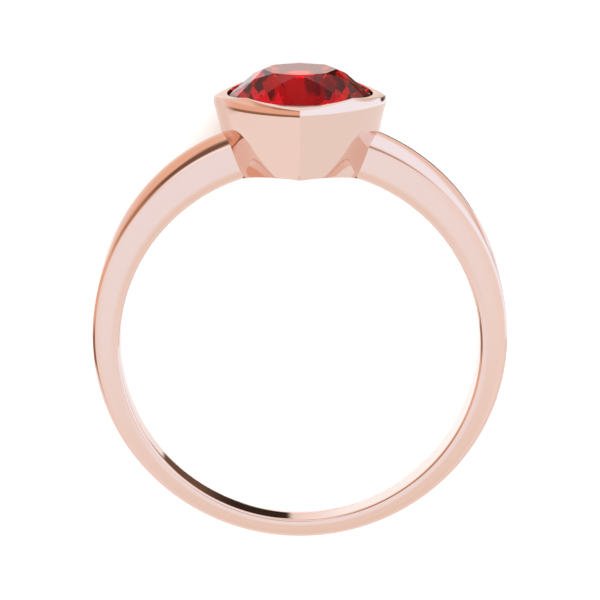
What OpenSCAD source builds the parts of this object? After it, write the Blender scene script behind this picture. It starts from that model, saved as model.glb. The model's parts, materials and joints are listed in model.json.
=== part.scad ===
// Bezel-set solitaire ring with a round brilliant-cut red stone in a four-cornered cup.
// The ring lies on its side, as it rests by itself: the back corner of the head
// and the bottom of the shank touch the surface at z = 0.
// Each piece is drawn upright first: the finger goes along Y, the head points to +Z,
// and the middle of the finger hole is at the origin.

/* [Finger] */
// Inside diameter of the ring
finger_d = 17.35; // [16:0.05:20]

/* [Shank] */
// Width of the shank at the bottom, along the finger
shank_w_bottom = 1.45; // [1.2:0.05:2]
// Width of the shank beside the head, along the finger
shank_w_head = 1.6; // [1.4:0.05:2.4]
// Thickness of the shank at the bottom
shank_t_bottom = 0.86; // [0.8:0.02:1.2]
// Thickness of the side faces where they run into the head
shank_t_head = 1.74; // [1.4:0.02:2]
// Height of the rounded top above the side faces beside the head
dome_h = 0.7; // [0.4:0.02:0.9]
// How far the circle of the rounded top is moved towards the head
dome_shift = 1.3; // [1.1:0.02:1.5]
// Size of the rounded outer edges
edge_round = 0.14; // [0.08:0.01:0.2]
// Width of the small bevels along the finger hole
mouth_bevel = 0.12; // [0.06:0.01:0.18]

/* [Bezel cup] */
// Distance from the middle of the cup to each of its four corners, at the foot of the rim
rim_corner = 4.1; // [4.05:0.05:4.3]
// Distance from the middle of the cup to the middle of each bulged side, at the same height
rim_side = 3.66; // [3.64:0.01:3.74]
// Distance from the middle of the cup to each corner, at the finger
base_corner = 3.5; // [3.4:0.05:3.6]
// Distance from the middle of the cup to the middle of each side, at the finger
base_side = 2.65; // [2.6:0.05:2.8]
// How far the corners bow inwards, halfway down the wall
corner_bow = 0.075; // [0:0.005:0.1]
// How far the sides bow outwards, halfway down the wall
side_bow = 0.125; // [0.05:0.005:0.15]
// Height from the finger to the foot of the rim
wall_h = 3.08; // [3:0.01:3.3]
// Height of the rim above the wall, at the corners
band_h = 0.35; // [0.3:0.01:0.4]
// Radius to which the rim is rounded over towards the stone
roll_r = 1.1; // [1.05:0.05:2]
// Height above the wall at which the rounded rim is widest
roll_mid = 0.15; // [0.1:0.01:0.25]
// Fall of the rim's four top faces towards the corners, in degrees
top_fall = 11.5; // [8:0.5:16]
// Radius of the opening in the lip round the stone
lip_r = 3.46; // [3.4:0.01:3.5]
// Radius of the round hole behind the stone
azure_r = 1.1; // [0.9:0.05:1.15]

/* [Stone] */
// Diameter of the stone at the girdle
stone_d = 7; // [6.9:0.01:7]
// Height of the table above the finger
table_h = 4.72; // [4.65:0.01:4.8]
// Distance from the middle of the table to each of its eight corners
table_r = 1.73; // [1.6:0.01:1.9]
// Height of the crown, from the girdle to the table
crown_h = 1.35; // [1.25:0.01:1.4]
// Height of the star facets beside the table
star_h = 0.34; // [0.25:0.01:0.4]
// Thickness of the girdle at its thickest places
girdle_t = 0.16; // [0.14:0.01:0.2]
// Depth of the pavilion, from the girdle to the point
pavilion_h = 2.85; // [2.7:0.05:2.9]
// Height from the point to the upper ends of the long pavilion facets' side edges
lower_h = 0.7; // [0.5:0.05:1]
// Clearance between the stone and the metal
stone_gap = 0.03; // [0.02:0.01:0.04]

/* [Hidden] */
arc_fn = 96;

bore_r = finger_d / 2;
rim_z = bore_r + wall_h;
rim_top_z = rim_z + band_h;
stone_r = stone_d / 2;
table_z = bore_r + table_h;
girdle_top_z = table_z - crown_h;
girdle_low_z = girdle_top_z - girdle_t;
point_z = girdle_low_z - pavilion_h;

// Side face of the shank: an outer circle moved towards the head
face_r = bore_r + (shank_t_bottom + shank_t_head) / 2;
face_shift = (shank_t_head - shank_t_bottom) / 2;
// Rounded top of the shank: a second circle, moved further
dome_r = bore_r + shank_t_head + dome_h - dome_shift;
dome_blend = 0.05;
shank_steps = 72;
// How far the blank reaches into the finger hole before it is bored
bore_stock = 0.3;

// Segments in each side of the cup's outline, and levels down its wall
side_steps = 14;
wall_steps = 6;
rim_steps = 5;
// The sides of the cup stay at least this far outside straight lines between the corners
least_bulge = 0.03;
foot_drop = 1.1;
// The blank's rim is made this high, before its top is cut
rim_stock = 0.75;
// How much wider the lip's opening gets for each mm of height
lip_flare = 0.1;
seat_floor_z = bore_r + 1;
// Steps round the girdle between two of its sixteen facet corners
girdle_steps = 4;

// Lying pose: the head's back corner and the bottom of the shank on the surface
edge_z = bore_r + shank_t_bottom - edge_round;
tilt = atan((rim_corner - shank_w_bottom / 2) / (rim_z + edge_z));
lift = rim_corner * cos(tilt) - rim_z * sin(tilt);
reach_head = table_r * sin(tilt) + table_z * cos(tilt);
foot_w = shank_w_bottom / 2 - edge_round;
foot_z = bore_r + shank_t_bottom + dome_at(180) * (1 - pow(foot_w / (shank_w_bottom / 2), 2));
reach_bottom = foot_w * sin(tilt) + foot_z * cos(tilt);

// Radius, from the ring's middle, of a circle moved by shift towards the head
function moved_circle(r, shift, a) = shift * cos(a) + sqrt(r * r - pow(shift * sin(a), 2));

// Larger of zero and d, with a soft start
function soft_rise(d) = (d + sqrt(d * d + dome_blend * dome_blend)) / 2;

// Half width, side face radius and dome height of the shank at angle a from the head
function half_w(a) = (shank_w_bottom + (shank_w_head - shank_w_bottom) * (1 + cos(a)) / 2) / 2;
function face_at(a) = moved_circle(face_r, face_shift, a);
function dome_at(a) = soft_rise(moved_circle(dome_r, dome_shift, a) - face_at(a));

// Rounded outer edge of the shank: full height up to half width f, then falling by edge_round
function edge_height(y, f) =
    let (past = max(0, abs(y) - f) / edge_round)
    edge_round * (sqrt(max(0, 1 - past * past)) - 1);

// Outline of the shank at angle a: pairs of distance from the finger's axis and place along it
function shank_outline(a) =
    let (w = half_w(a), f = w - edge_round, low_w = w - mouth_bevel - bore_stock, r = face_at(a),
        across = concat([-w, -f - 0.87 * edge_round, -f - 0.5 * edge_round],
            [for (i = [-4 : 4]) f * i / 4],
            [f + 0.5 * edge_round, f + 0.87 * edge_round, w]))
    concat(
        [for (y = across) [r + edge_height(y, f) + dome_at(a) * (1 - pow(y / w, 2)), -y]],
        [[bore_r + mouth_bevel, -w], [bore_r - bore_stock, -low_w]],
        [[bore_r - bore_stock, low_w], [bore_r + mouth_bevel, w]]
    );

// Corner and side distance of the cup's wall, at depth u: 0 at the rim, 1 at the finger
function wall_corner(u) =
    rim_corner + (base_corner - rim_corner) * u - 4 * corner_bow * u * (1 - u);
function wall_side(u) =
    max(rim_side + (base_side - rim_side) * u + 4 * side_bow * u * (1 - u),
        wall_corner(u) / sqrt(2) + least_bulge);

// How far the rounded rim goes inwards, at height h above the wall
function roll_in(h) =
    sqrt(roll_r * roll_r - roll_mid * roll_mid) - sqrt(roll_r * roll_r - pow(h - roll_mid, 2));

// Outline of the cup with corner distance c and side distance m: four arcs, whose centres
// lie across the middle of the cup
function cup_outline(c, m) =
    let (
        off = (c * c - m * m) / (2 * (sqrt(2) * m - c)),
        r = m + sqrt(2) * off,
        lean = atan2(off, c + off))
    [for (q = [0 : 90 : 270], i = [0 : side_steps - 1])
        let (a = lean + (90 - 2 * lean) * i / side_steps,
            x = r * cos(a) - off, y = r * sin(a) - off)
        [x * cos(q) - y * sin(q), x * sin(q) + y * cos(q)]];

// Turns an upright piece over onto its side and sets it on the surface
module lay_down() {
    translate([0, (reach_head - reach_bottom) / 2, lift])
        rotate([0, 0, 180])
            rotate([tilt - 90, 0, 0])
                children();
}

// Blank of the shank, before it is bored for the finger
module shank_blank() {
    outlines = [for (i = [0 : shank_steps - 1]) shank_outline(i * 360 / shank_steps)];
    n = len(outlines[0]);
    points = [for (i = [0 : shank_steps - 1])
        let (a = i * 360 / shank_steps)
        for (p = outlines[i]) [p[0] * sin(a), p[1], p[0] * cos(a)]];
    faces = [for (i = [0 : shank_steps - 1], j = [0 : n - 1])
        let (i2 = (i + 1) % shank_steps, j2 = (j + 1) % n)
        each [[i * n + j, i2 * n + j, i2 * n + j2], [i * n + j, i2 * n + j2, i * n + j2]]];
    polyhedron(points, faces);
}

// Cup: four bulged, tapered sides and a rounded-over rim, under four flats like a low pyramid
module cup_blank() {
    stock_r = rim_corner + 1;
    peak_z = rim_top_z + (rim_corner + stock_r) * tan(top_fall);
    foot_u = 1 + foot_drop / wall_h;
    // Corner distance, side distance and height of each level, from the foot to the top
    levels = concat(
        [for (i = [wall_steps : -1 : 0])
            let (u = foot_u * i / wall_steps) [wall_corner(u), wall_side(u), rim_z - u * wall_h]],
        [for (i = [1 : rim_steps])
            let (h = rim_stock * i / rim_steps, d = roll_in(h))
            [rim_corner - d, rim_side - d, rim_z + h]]);
    n = 4 * side_steps;
    top = len(levels) - 1;
    points = [for (l = levels) for (p = cup_outline(l[0], l[1])) [p[0], p[1], l[2]]];
    faces = concat(
        [[for (j = [0 : n - 1]) j]],
        [[for (j = [n - 1 : -1 : 0]) top * n + j]],
        [for (i = [0 : top - 1], j = [0 : n - 1])
            let (j2 = (j + 1) % n)
            each [
                [i * n + j, (i + 1) * n + j, (i + 1) * n + j2],
                [i * n + j, (i + 1) * n + j2, i * n + j2]
            ]]);
    intersection() {
        polyhedron(points, faces);
        intersection_for(q = [0 : 90 : 270]) {
            rotate([90, 0, q])
                linear_extrude(height = 2 * stock_r, center = true)
                    polygon([
                        [-stock_r, rim_z - wall_h - 2 * foot_drop],
                        [stock_r, rim_z - wall_h - 2 * foot_drop],
                        [stock_r, rim_top_z - (stock_r - rim_corner) * tan(top_fall)],
                        [-stock_r, peak_z]
                    ]);
        }
    }
}

// Seat for the stone: a cone, a groove for the girdle and the opening in the lip
module seat() {
    groove_r = stone_r + stone_gap;
    groove_low = girdle_low_z - stone_gap;
    groove_top = girdle_top_z + stone_gap;
    lip_z = groove_top + groove_r - lip_r;
    rotate_extrude($fn = arc_fn)
        polygon([
            [0, seat_floor_z],
            [groove_r - (groove_low - seat_floor_z), seat_floor_z],
            [groove_r, groove_low],
            [groove_r, groove_top],
            [lip_r, lip_z],
            [lip_r + lip_flare * (table_z + 1 - lip_z), table_z + 1],
            [0, table_z + 1]
        ]);
    cylinder(h = seat_floor_z + 0.5, r = azure_r, $fn = arc_fn);
}

// Cast metal: the shank and the cup are soldered into one solid
module shank_and_bezel() {
    color("#e8bfae")
        lay_down()
            difference() {
                union() {
                    shank_blank();
                    cup_blank();
                }
                rotate([90, 0, 0])
                    cylinder(h = 4 * rim_corner, r = bore_r, center = true, $fn = arc_fn);
                seat();
            }
}

// Brilliant cut: table, stars, kites and halves above, long facets and halves below
module stone() {
    g = 16 * girdle_steps;
    step = 360 / g;
    // Distance from the axis to the middle of each sixteenth of the girdle, and the
    // slopes of the half facets, which run down from the star tips and up to the girdle
    flat_r = stone_r * cos(11.25);
    star_r = (table_r + star_h * (stone_r - table_r) / crown_h) / cos(22.5);
    lower_r = lower_h * stone_r / pavilion_h / cos(22.5);
    upper_slope = (crown_h - star_h) / (flat_r - star_r * cos(11.25));
    lower_slope = (pavilion_h - lower_h) / (flat_r - lower_r * cos(11.25));
    // How far each point of the round girdle lies outside its half facet's chord
    dip = [for (k = [0 : g - 1]) stone_r * cos((k % girdle_steps) * step - 11.25) - flat_r];
    points = concat(
        [for (i = [0 : 7]) [table_r * cos(45 * i), table_r * sin(45 * i), table_z]],
        [for (i = [0 : 7])
            [star_r * cos(45 * i + 22.5), star_r * sin(45 * i + 22.5), table_z - star_h]],
        [for (i = [0 : 7])
            [lower_r * cos(45 * i + 22.5), lower_r * sin(45 * i + 22.5), point_z + lower_h]],
        [[0, 0, point_z]],
        [for (k = [0 : g - 1])
            [stone_r * cos(k * step), stone_r * sin(k * step), girdle_top_z - upper_slope * dip[k]]],
        [for (k = [0 : g - 1])
            [stone_r * cos(k * step), stone_r * sin(k * step), girdle_low_z + lower_slope * dip[k]]]
    );
    star = 8;
    low = 16;
    tip = 24;
    top_rim = 25;
    low_rim = top_rim + g;
    half = [for (k = [0 : girdle_steps]) k];
    faces = concat(
        [[for (i = [7 : -1 : 0]) i]],
        [for (i = [0 : 7])
            let (n = (i + 1) % 8, m = (i + 7) % 8, k0 = 2 * i * girdle_steps)
            each [
                [i, n, star + i],
                [i, star + i, top_rim + k0, star + m],
                [tip, low + m, low_rim + k0, low + i]
            ]],
        [for (i = [0 : 7], s = [0, 1])
            let (k0 = (2 * i + s) * girdle_steps)
            each [
                concat([star + i], [for (k = half) top_rim + (k0 + girdle_steps - k) % g]),
                concat([low + i], [for (k = half) low_rim + (k0 + k) % g])
            ]],
        [for (k = [0 : g - 1])
            let (n = (k + 1) % g)
            [top_rim + k, top_rim + n, low_rim + n, low_rim + k]]
    );
    color("#9c1420")
        lay_down()
            polyhedron(points, faces);
}

shank_and_bezel();
stone();
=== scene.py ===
import json
import math

import bpy
from mathutils import Matrix, Vector


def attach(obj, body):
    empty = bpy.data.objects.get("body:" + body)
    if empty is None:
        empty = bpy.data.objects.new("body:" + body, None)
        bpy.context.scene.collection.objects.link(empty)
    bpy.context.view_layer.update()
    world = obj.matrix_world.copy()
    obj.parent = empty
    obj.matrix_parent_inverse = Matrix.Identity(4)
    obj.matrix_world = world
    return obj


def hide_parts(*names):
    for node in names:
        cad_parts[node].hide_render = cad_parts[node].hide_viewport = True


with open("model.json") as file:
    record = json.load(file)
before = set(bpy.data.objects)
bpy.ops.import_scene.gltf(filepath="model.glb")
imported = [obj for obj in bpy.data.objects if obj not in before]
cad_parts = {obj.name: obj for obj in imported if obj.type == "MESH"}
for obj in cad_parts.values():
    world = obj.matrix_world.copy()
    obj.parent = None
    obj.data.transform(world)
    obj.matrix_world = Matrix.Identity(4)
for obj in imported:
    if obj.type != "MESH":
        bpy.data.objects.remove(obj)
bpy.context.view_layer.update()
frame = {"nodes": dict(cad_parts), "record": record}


# Viewpoint. The ring lies on its side, and the camera looks along the finger's axis
# from a little above it, with the head at the top of the picture.
mm = 0.001
finger = frame["record"]["mounts"][0]
hole_middle = Vector(finger["pos_m"])
to_viewer = Vector(finger["axis"]).normalized()
to_head = Vector((1, 0, 0)).cross(to_viewer)
turned = Matrix((Vector((-1, 0, 0)), -to_viewer, to_head)).transposed()


def put(x, y, z):
    """Place in the frame of a point given in millimetres in the ring's own directions: x
    across the ring, y along the finger away from the viewer and z towards the head, all
    from the middle of the finger hole."""
    return hole_middle + turned @ (Vector((x, y, z)) * mm)


view_distance = 180.0
view_rise = math.radians(13.85)
view_pitch = math.radians(13.19)
camera = bpy.data.objects.new("camera", bpy.data.cameras.new("camera"))
camera.data.sensor_width = 36.0
camera.data.lens = 223.7
camera.data.clip_start = 10 * mm
up = turned @ Vector((0, math.sin(view_pitch), math.cos(view_pitch)))
forward = turned @ Vector((0, math.cos(view_pitch), -math.sin(view_pitch)))
camera.matrix_world = Matrix.Translation(
    put(0, -view_distance * math.cos(view_rise), view_distance * math.sin(view_rise))
) @ Matrix((Vector((-1, 0, 0)), up, -forward)).transposed().to_4x4()
bpy.context.scene.collection.objects.link(camera)
bpy.context.scene.camera = camera


# Shank. A cast rose-gold band with flat sides and a top that rises into a rounded crown
# towards the head. It is filed to fit the cup and soldered to it on both sides, then
# polished to a mirror.
finger_r = finger["dims"]["r_mm"]
# Polishing opens the finger hole by this much all round
polished_away = 0.003
# The top's edges and the crown's ridge are circles, moved towards the head
side_r, side_shift = 9.975, 0.44
crown_r, crown_shift = 9.815, 1.30
# Eases the crown's start out of the plain band, in square millimetres
crown_ease = 0.0025
# Half widths along the finger, and the radii of the outer edges and the hole's mouth
half_w_bottom, half_w_head = 0.725, 0.8
edge_round, mouth_round = 0.14, 0.12
# The angle from the head at which the shank ends inside the cup
joint_angle = math.radians(16.4)
shank_sections = 320
top_steps, edge_steps, side_steps, mouth_steps, finger_steps = 22, 6, 3, 5, 8


def hex_colour(text):
    """Linear colour with full opacity from the digits of an sRGB one."""
    parts = [int(text[i:i + 2], 16) / 255 for i in (1, 3, 5)]
    return [c / 12.92 if c <= 0.04045 else ((c + 0.055) / 1.055) ** 2.4 for c in parts] + [1.0]


def add_node(tree, kind, links=None, **settings):
    """Adds a node: settings go to its properties, links to its inputs as values or outputs."""
    node = tree.nodes.new(kind)
    for name, value in settings.items():
        setattr(node, name, value)
    for name, value in (links or {}).items():
        if isinstance(value, bpy.types.NodeSocket):
            tree.links.new(value, node.inputs[name])
        else:
            node.inputs[name].default_value = value
    return node


def mix_colours(tree, factor, first, second):
    """Mix of two colours, which are the node's inputs 6 and 7, with its result at output 2."""
    return add_node(tree, "ShaderNodeMix", {"Factor": factor, 6: first, 7: second},
                    data_type="RGBA").outputs[2]


def grain(size):
    """A noise pattern's scale for grains of a size in millimetres."""
    return 1 / (size * mm)


def new_material(name):
    material = bpy.data.materials.new(name)
    material.use_nodes = True
    material.node_tree.nodes.clear()
    return material, material.node_tree


def polished_rose_gold():
    """14-carat rose gold, polished on a felt wheel: a clear warm pink mirror. The wheel
    leaves faint swirls, and skin grease makes it a little duller in soft patches."""
    material, tree = new_material("polished rose gold")
    place = add_node(tree, "ShaderNodeTexCoord").outputs["Object"]
    # Grease film, in patches about 3 mm across
    film = add_node(tree, "ShaderNodeTexNoise", {
        "Vector": place, "Scale": grain(3.03), "Detail": 3.0})
    dullness = add_node(tree, "ShaderNodeMapRange", {
        "Value": film.outputs["Fac"], "From Min": 0.35, "From Max": 0.7,
        "To Min": 0.025, "To Max": 0.06})
    # Copper-rich grains about 0.4 mm across vary the colour very slightly
    grains = add_node(tree, "ShaderNodeTexNoise", {
        "Vector": place, "Scale": grain(0.4), "Detail": 2.0})
    tint = mix_colours(tree, grains.outputs["Fac"], hex_colour("#f0d1c5"), hex_colour("#eecfc3"))
    # Buffing swirls, which are far finer on the real ring, drawn 0.12 mm apart
    swirls = add_node(tree, "ShaderNodeTexNoise", {
        "Vector": place, "Scale": grain(0.125), "Detail": 1.0})
    bump = add_node(tree, "ShaderNodeBump", {
        "Height": swirls.outputs["Fac"], "Strength": 0.02, "Distance": 0.01 * mm})
    shader = add_node(tree, "ShaderNodeBsdfPrincipled", {
        "Base Color": tint, "Metallic": 1.0,
        "Roughness": dullness.outputs["Result"], "Normal": bump.outputs["Normal"]})
    add_node(tree, "ShaderNodeOutputMaterial", {"Surface": shader.outputs["BSDF"]})
    return material


rose_gold = polished_rose_gold()


def solid_from_grid(name, rows, closed_rows):
    """Mesh from rows of points given in ring directions. Each row is a closed loop; the
    rows join into a ring, or into a rod that is capped at both ends. The order of the
    corners turns every face outwards."""
    width = len(rows[0])
    points = [put(*p) for row in rows for p in row]
    faces = []
    count = len(rows)
    for i in range(count if closed_rows else count - 1):
        for j in range(width):
            a, b = i * width, (i + 1) % count * width
            faces.append((a + j, b + j, b + (j + 1) % width, a + (j + 1) % width))
    if not closed_rows:
        faces.append(tuple(range(width)))
        faces.append(tuple((count - 1) * width + j for j in reversed(range(width))))
    mesh = bpy.data.meshes.new(name)
    mesh.from_pydata(points, [], faces)
    mesh.materials.append(rose_gold)
    mesh.shade_smooth()
    piece = bpy.data.objects.new(name, mesh)
    bpy.context.scene.collection.objects.link(piece)
    # The large faces set the shading, so that flats beside a rounded edge stay flat
    weights = piece.modifiers.new("even shading", "WEIGHTED_NORMAL")
    weights.weight = 80
    return piece


def moved_circle(radius, shift, angle):
    """Distance from the finger's middle to a circle that is moved towards the head."""
    return shift * math.cos(angle) + math.sqrt(radius ** 2 - (shift * math.sin(angle)) ** 2)


def shank_section(angle):
    """Closed outline across the shank, at an angle from the head."""
    half_w = half_w_bottom + (half_w_head - half_w_bottom) * (1 + math.cos(angle)) / 2
    side = moved_circle(side_r, side_shift, angle)
    rise = moved_circle(crown_r, crown_shift, angle) - side
    rise = (rise + math.sqrt(rise ** 2 + crown_ease)) / 2
    # Top: a low crown between two rounded edges
    flat = half_w - edge_round
    across = [-flat - edge_round * math.cos(math.radians(90 / edge_steps * i))
              for i in range(edge_steps)]
    across += [-flat + 2 * flat * i / top_steps for i in range(top_steps + 1)]
    across += [-y for y in reversed(across[:edge_steps])]
    outline = []
    for y in across:
        past = max(0.0, abs(y) - flat) / edge_round
        height = edge_round * math.sqrt(max(0.0, 1 - past ** 2))
        outline.append((side - edge_round + height + rise * (1 - (y / half_w) ** 2), y))
    # Side face, rounded mouth of the finger hole, finger side, and back up again
    inner = finger_r + polished_away
    side_face = side - inner - edge_round - mouth_round
    mouth = []
    for i in range(mouth_steps + 1):
        turn = math.radians(90 / mouth_steps * i)
        mouth.append((inner + mouth_round * (1 - math.sin(turn)),
                      half_w - mouth_round * (1 - math.cos(turn))))
    outline += [(side - edge_round - (i + 1) * side_face / side_steps, half_w)
                for i in range(side_steps)]
    outline += mouth[1:]
    outline += [(inner, (half_w - mouth_round) * (1 - 2 * i / finger_steps))
                for i in range(1, finger_steps)]
    outline += [(r, -y) for r, y in reversed(mouth)]
    outline += [(inner + mouth_round + (i + 1) * side_face / side_steps, -half_w)
                for i in range(side_steps - 1)]
    return [(r * math.sin(angle), y, r * math.cos(angle)) for r, y in outline]


shank = solid_from_grid("shank", [
    shank_section(joint_angle + (2 * math.pi - 2 * joint_angle) * i / shank_sections)
    for i in range(shank_sections + 1)], closed_rows=False)
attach(shank, "root")
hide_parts("shank_and_bezel")


# Cup. A tapered bezel with four corners, cast in rose gold. Its rim is rounded over towards
# the stone and pressed onto the girdle, with four flats on top that fall to the corners.
# The foot follows the finger hole, and a round hole lets light in behind the stone.
wall_h, band_h = 3.08, 0.35
rim_z = finger_r + wall_h
rim_top_z = rim_z + band_h
# Half widths at the rim's foot and at the finger, across the corners and across the sides
rim_corner, rim_side = 4.1, 3.66
base_corner, base_side = 3.5, 2.65
# Half way down, the corners bow in and the sides out. No side gets flatter than the last.
corner_bow, side_bow = 0.075, 0.125
least_bulge = 0.03
# The rim's rounding, which is widest just over the rim's foot
roll_r, roll_mid = 1.1, 0.15
top_slope = math.tan(math.radians(11.5))
# The stone, whose table is this far above the finger hole, and its gap in the groove
stone_r, table_h, crown_h, girdle_t = 3.5, 4.72, 1.35, 0.16
stone_gap = 0.03
girdle_top_z = finger_r + table_h - crown_h
girdle_low_z = girdle_top_z - girdle_t
# The lip's opening, the floor under the stone and the hole behind it
lip_r, lip_flare = 3.46, 0.1
seat_floor_z = finger_r + 1.0
azure_r = 1.1
# Radii of the corners, and of the softened edges from the foot up and over to the hole
corner_round = 0.05
foot_round, crease_round, rim_round, lip_round, azure_round = 0.04, 0.015, 0.02, 0.01, 0.03
round_steps = 6
# Shares of the wall's depth and of the foot's width, close together next to the edges
wall_shares = (1, 0.97, 0.88, 0.76, 0.64, 0.52, 0.4, 0.28, 0.16, 0.05, 0)
foot_shares = (0.05, 0.25, 0.5, 0.75, 0.97)
rim_steps = 9
corner_steps, bulge_steps = 5, 40
# Rounds in which the ends of the wall and the rim settle on their surfaces
settling_rounds = 10


def roll_in(height):
    """How far the rounded rim has come in towards the stone, at a height above its foot."""
    past_widest = height - roll_mid
    return math.sqrt(roll_r ** 2 - roll_mid ** 2) - math.sqrt(roll_r ** 2 - past_widest ** 2)


def cup_point(place, depth):
    """Point of the cup's outline. The depth is 0 at the foot of the rim and 1 at the finger,
    and negative up the rim. The place is a quarter, whether it is on that quarter's corner,
    and how far along it is."""
    quarter, on_corner, along = place
    if depth < 0:
        inwards = roll_in(-depth * wall_h)
        corner, side = rim_corner - inwards, rim_side - inwards
    else:
        corner = rim_corner + (base_corner - rim_corner) * depth
        corner -= 4 * corner_bow * depth * (1 - depth)
        side = rim_side + (base_side - rim_side) * depth + 4 * side_bow * depth * (1 - depth)
        side = max(side, corner / math.sqrt(2) + least_bulge)
    # The sides are arcs whose centres lie across the middle of the cup
    side_off = (corner ** 2 - side ** 2) / (2 * (math.sqrt(2) * side - corner))
    radius = side + math.sqrt(2) * side_off
    reach = math.sqrt((radius - corner_round) ** 2 - side_off ** 2)
    lean = math.atan2(side_off, reach)
    if on_corner:
        x = reach - side_off + corner_round * math.cos(lean * along)
        y = corner_round * math.sin(lean * along)
    else:
        a = lean + (math.pi / 2 - 2 * lean) * along
        x, y = radius * math.cos(a) - side_off, radius * math.sin(a) - side_off
    turn = quarter * math.pi / 2
    return (x * math.cos(turn) - y * math.sin(turn), x * math.sin(turn) + y * math.cos(turn))


def soften(path, rounds):
    """Closed path of points with the corners at the given numbers rounded off."""
    out = []
    for i, p in enumerate(path):
        p = Vector(p)
        if i not in rounds:
            out.append(p)
            continue
        before, after = Vector(path[i - 1]), Vector(path[(i + 1) % len(path)])
        a = p + (before - p).normalized() * rounds[i]
        b = p + (after - p).normalized() * rounds[i]
        for k in range(round_steps + 1):
            t = k / round_steps
            out.append(a * (1 - t) ** 2 + p * 2 * t * (1 - t) + b * t ** 2)
    return out


def on_finger(x, y):
    return (x, y, math.sqrt(finger_r ** 2 - x ** 2))


def rim_top(x, y):
    """Height of the rim's top, which falls from the middle of each side to the corners."""
    return rim_top_z + (rim_corner - max(abs(x), abs(y))) * top_slope


def wall_point(place, depth):
    return Vector((*cup_point(place, depth), rim_z - depth * wall_h))


def cup_column(place):
    """One closed path round the cup's section, at one place of the outline."""
    crease = cup_point(place, 0)
    reach = math.hypot(*crease)
    way = (crease[0] / reach, crease[1] / reach)
    # The wall ends where it meets the finger hole
    foot_depth = 1.0
    for _ in range(settling_rounds):
        x, y = cup_point(place, foot_depth)
        foot_depth = (rim_z - math.sqrt(finger_r ** 2 - x ** 2)) / wall_h
    path = [wall_point(place, foot_depth * share) for share in wall_shares]
    crease_at = len(path) - 1
    # The rim ends where it meets the flats
    top_depth = 0.0
    for _ in range(settling_rounds):
        top_depth = (rim_z - rim_top(*cup_point(place, top_depth))) / wall_h
    path += [wall_point(place, top_depth * i / rim_steps) for i in range(1, rim_steps + 1)]
    rim_at = len(path) - 1
    # Lip, groove for the girdle, cone under the stone, floor, and the hole to the finger
    groove_r = stone_r + stone_gap
    groove_low = girdle_low_z - stone_gap
    lip_z = girdle_top_z + stone_gap + groove_r - lip_r
    opening_r = lip_r + lip_flare * (rim_top(way[0] * lip_r, way[1] * lip_r) - lip_z)
    inner = [
        (opening_r, rim_top(way[0] * opening_r, way[1] * opening_r)),
        (lip_r, lip_z),
        (groove_r, girdle_top_z + stone_gap),
        (groove_r, groove_low),
        (groove_r - (groove_low - seat_floor_z), seat_floor_z),
        (azure_r, seat_floor_z),
    ]
    path += [(way[0] * r, way[1] * r, z) for r, z in inner]
    azure_at = len(path)
    azure = on_finger(way[0] * azure_r, way[1] * azure_r)
    path += [azure]
    path += [on_finger(azure[0] + (x - azure[0]) * t, azure[1] + (y - azure[1]) * t)
             for t in foot_shares]
    return soften(path, {0: foot_round, crease_at: crease_round, rim_at: rim_round,
                         rim_at + 1: lip_round, azure_at: azure_round})


# Each side has more columns towards its corners, and two more beside its middle, where the
# rim's flats meet
bulge_shares = sorted([0.5 - 0.5 * math.cos(math.pi * i / bulge_steps)
                       for i in range(1, bulge_steps)] + [0.49, 0.51])
columns = []
for quarter in range(4):
    columns += [cup_column((quarter, True, i / corner_steps))
                for i in range(-corner_steps, corner_steps + 1)]
    columns += [cup_column((quarter, False, share)) for share in bulge_shares]
cup = solid_from_grid("bezel_cup", columns, closed_rows=True)
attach(cup, "root")
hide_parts("shank_and_bezel")


# Stone. A round brilliant-cut red stone, held at its girdle by the cup's lip. The facets
# are ground and polished flat, so they stay hard-edged.
def brilliant_red_stone():
    """Clear red corundum, lapped and polished: bright sharp glints from the facets and
    a deep red body. Growth zoning makes the red a little uneven."""
    material, tree = new_material("faceted red stone")
    place = add_node(tree, "ShaderNodeTexCoord").outputs["Object"]
    # Growth zones, about 2 mm apart
    zoning = add_node(tree, "ShaderNodeTexNoise", {
        "Vector": place, "Scale": grain(2.22), "Detail": 2.0})
    reds = mix_colours(tree, zoning.outputs["Fac"], hex_colour("#e00f1b"), hex_colour("#c60914"))
    # A trace of fine silk inside scatters a little red light out of the dark facets, and the
    # surface's own glare is low and red, as the photo shows it
    shader = add_node(tree, "ShaderNodeBsdfPrincipled", {
        "Base Color": reds, "Transmission Weight": 0.97, "IOR": 1.76,
        "Roughness": 0.0, "Specular Tint": hex_colour("#a04048")})
    add_node(tree, "ShaderNodeOutputMaterial", {"Surface": shader.outputs["BSDF"]})
    return material


frame["nodes"]["stone"].material_slots[0].material = brilliant_red_stone()


# Table top. A smooth white sheet of card that the ring lies on, far wider than the
# picture.
def white_sheet():
    """Matt white card: it only catches soft shadows and a little warm light off the gold."""
    material, tree = new_material("white card")
    place = add_node(tree, "ShaderNodeTexCoord").outputs["Object"]
    # Clumps of paper fibre, about 1 mm across
    fibres = add_node(tree, "ShaderNodeTexNoise", {
        "Vector": place, "Scale": grain(1.11), "Detail": 3.0})
    white = mix_colours(tree, fibres.outputs["Fac"], hex_colour("#fdfdfd"), hex_colour("#fafafa"))
    shader = add_node(tree, "ShaderNodeBsdfPrincipled", {"Base Color": white, "Roughness": 0.9})
    add_node(tree, "ShaderNodeOutputMaterial", {"Surface": shader.outputs["BSDF"]})
    return material


sheet_half = 600 * mm
sheet_mesh = bpy.data.meshes.new("sheet")
sheet_mesh.from_pydata(
    [(-sheet_half, -sheet_half, 0), (sheet_half, -sheet_half, 0),
     (sheet_half, sheet_half, 0), (-sheet_half, sheet_half, 0)], [], [(0, 1, 2, 3)])
sheet_mesh.materials.append(white_sheet())
sheet = bpy.data.objects.new("sheet", sheet_mesh)
bpy.context.scene.collection.objects.link(sheet)


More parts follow.
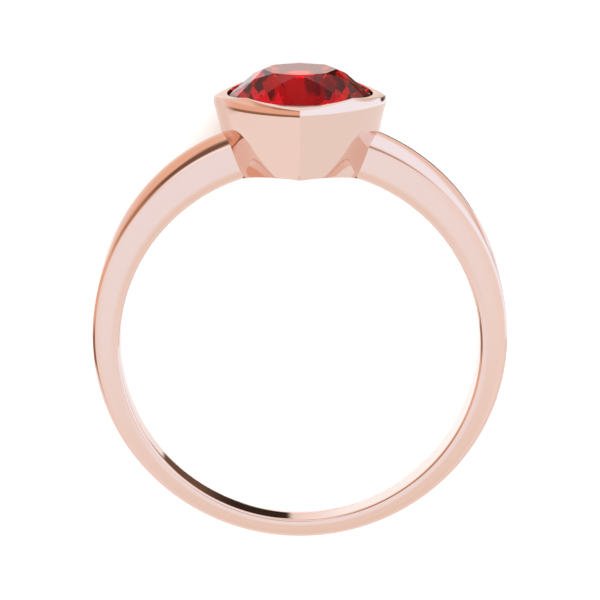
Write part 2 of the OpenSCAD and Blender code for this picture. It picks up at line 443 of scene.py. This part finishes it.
# Light. A small white studio with a soft panel overhead. The polished gold mirrors the
# studio all round: mostly white, with a few warm and dark cards. The white sheet doesn't
# show in the gold, which sees the cards under and behind the ring instead.
def toward(azimuth, elevation):
    """Unit vector, with the azimuth counted from +X towards +Y, both in degrees."""
    a, e = math.radians(azimuth), math.radians(elevation)
    return (math.cos(e) * math.cos(a), math.cos(e) * math.sin(a), math.sin(e))


# Soft areas of the studio, where a later one covers an earlier one: azimuth and elevation
# of the middle, half width inside and outside the soft edge, and colour. A strip or a cut
# side has more edges, each given by the angles from the head's direction at which it is
# clear and full.
cards = [
    # Warm to brown on the head's +X side, for the shank's shoulder there
    (-30, 0, 28, 62, "#d0c1b8"),
    (-42, 6, 12, 34, "#d0ad97"),
    (-22, 28, 8, 24, "#b0917e"),
    (20, 64, 4, 12, "#bba495"),
    (4, 54, 6, 14, "#aa8770"),
    (-14, 46, 9, 20, "#95725c"),
    (-48, 42, 10, 24, "#684f42"),
    (-25, 72, 3, 12, "#e1e5e7"),
    # White with warm edges on the -X side, for the other shoulder
    (178, 8, 26, 40, "#dee5e7"),
    (-150, 25, 30, 48, "#d9e7f6"),
    (-150, 80, 6, 15, "#a29187"),
    (-140, -30, 10, 40, "#d0c1b8"),
    # Below, for the cup's +X corner, then dark and white for the inside of the shank
    (15, -52, 8, 22, "#ccc0ba"),
    (-126, -61, 14.5, 15.6, "#5a4539"),
    (-110, -62, 3, 11, "#2a211c"),
    (-40, -66, 10, 28, "#dee5e7"),
    # Below the head, for the rim's flats and the stone's table, beside the dark card's end
    (-90, -71, 4, 9, "#d2c5bf"),
    (-90, -71, 3, 4.6, "#ecd6cf"),
    (-104, -62, 4.6, 5.6, "#2a211c"),
    # Overhead, for the shank's flat side face near the head and at the bottom
    (83, 73, 3, 10, "#d3dbe3"),
    (92, 60, 2, 8, "#cdc7c0"),
    # To the sides, for the foot and the -X face of the cup's wall and the arch at +X
    (40, -26, 3, 9, "#c19481"),
    (165, 0, 50, 70, "#cecdcc", (103, 105), (150, 135)),
    (26, 31, 4, 10, "#c9b5a6"),
    # Warm and brown strips on the +X side, for the rim's half there
    (16, 20, 34, 58, "#cda68f", (78, 88), (104, 100)),
    (16, 20, 36, 58, "#815f4d", (99, 104), (113, 110)),
    # White strip on the -X side, for the rim's other half and its warm and dark corner
    (165, 0, 50, 70, "#d9ebfb", (60, 75), (105, 103)),
    (-148, -22, 18, 26, "#c6b6ac", (62, 74)),
    (-174, -48, 5, 8, "#61473e", (87, 91)),
]
studio_strength = 1.5
world = bpy.data.worlds.new("white studio")
bpy.context.scene.world = world
world.use_nodes = True
studio_tree = world.node_tree
studio_tree.nodes.clear()
ray_way = add_node(studio_tree, "ShaderNodeTexCoord").outputs["Generated"]


def near(direction, outer, inner):
    """1 within the inner angle of a direction, 0 beyond the outer one, soft between. With
    an outer angle below the inner one it is 0 within and 1 beyond."""
    cosine = add_node(studio_tree, "ShaderNodeVectorMath", {0: ray_way, 1: direction},
                      operation="DOT_PRODUCT")
    return add_node(studio_tree, "ShaderNodeMapRange", {
        "Value": cosine.outputs["Value"],
        "From Min": math.cos(math.radians(outer)), "From Max": math.cos(math.radians(inner))},
        interpolation_type="SMOOTHSTEP").outputs["Result"]


surroundings = hex_colour("#d4d2d1")
for azimuth, elevation, inner, outer, colour, *edges in cards:
    share = near(toward(azimuth, elevation), outer, inner)
    for edge in edges:
        share = add_node(studio_tree, "ShaderNodeMath", {0: share, 1: near(to_head, *edge)},
                         operation="MULTIPLY").outputs[0]
    surroundings = mix_colours(studio_tree, share, surroundings, hex_colour(colour))
studio = add_node(studio_tree, "ShaderNodeBackground", {
    "Color": surroundings, "Strength": studio_strength})
# The picture's own background is plain white
plain = add_node(studio_tree, "ShaderNodeBackground", {"Color": (1, 1, 1, 1), "Strength": 1.0})
seen = add_node(studio_tree, "ShaderNodeMixShader", {
    "Fac": add_node(studio_tree, "ShaderNodeLightPath").outputs["Is Camera Ray"],
    1: studio.outputs["Background"], 2: plain.outputs["Background"]})
add_node(studio_tree, "ShaderNodeOutputWorld", {"Surface": seen.outputs["Shader"]})
sheet.visible_glossy = False
sheet.visible_transmission = False

panel_height = 400 * mm
panel = bpy.data.objects.new("panel", bpy.data.lights.new("panel", "AREA"))
panel.data.shape = "DISK"
panel.data.size = 500 * mm
panel.data.energy = 1.9
panel.location = (0, 0, panel_height)
panel.visible_glossy = False
bpy.context.scene.collection.objects.link(panel)
bpy.context.scene.view_settings.view_transform = "Standard"
